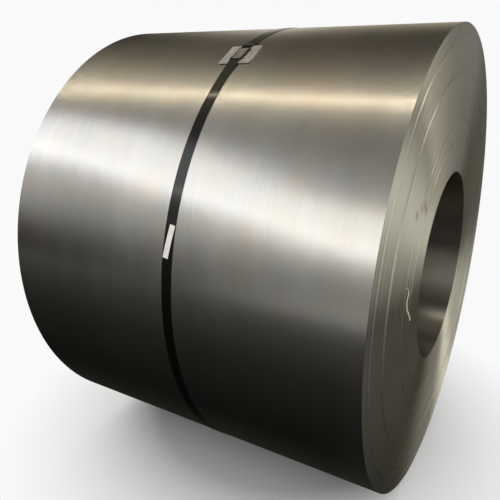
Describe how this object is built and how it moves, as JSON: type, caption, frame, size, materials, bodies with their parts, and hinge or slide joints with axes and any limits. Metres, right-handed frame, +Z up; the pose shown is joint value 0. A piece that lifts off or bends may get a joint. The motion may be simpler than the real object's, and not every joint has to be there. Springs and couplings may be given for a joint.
{
  "type": "steel coil",
  "caption": "Wound coil of cold-rolled steel strip lying on its side, with an open bore, stepped ends where the winding has drifted, and a steel strap with a crimped seal on a pad plate",
  "frame": {"origin": "on the floor under the middle of the coil", "axes": "+X along the bore, out of the end that the picture shows; +Y to the back; +Z up"},
  "size_m": [1.1749, 1.4818, 1.4818],
  "materials": {
    "strip_steel": "bright cold-rolled steel, lightly oiled",
    "strapping": "black painted and waxed steel strapping",
    "zinc_steel": "dull zinc-coated sheet",
    "sticker": "blank white film sticker",
    "cord": "pale yellow plastic twine"
  },
  "bodies": {
    "root": {"coil": "strip_steel", "strap": "strapping", "seal": "zinc_steel", "pad_plate": "zinc_steel", "label": "sticker", "marker_cord": "cord"}
  },
  "joints": []
}
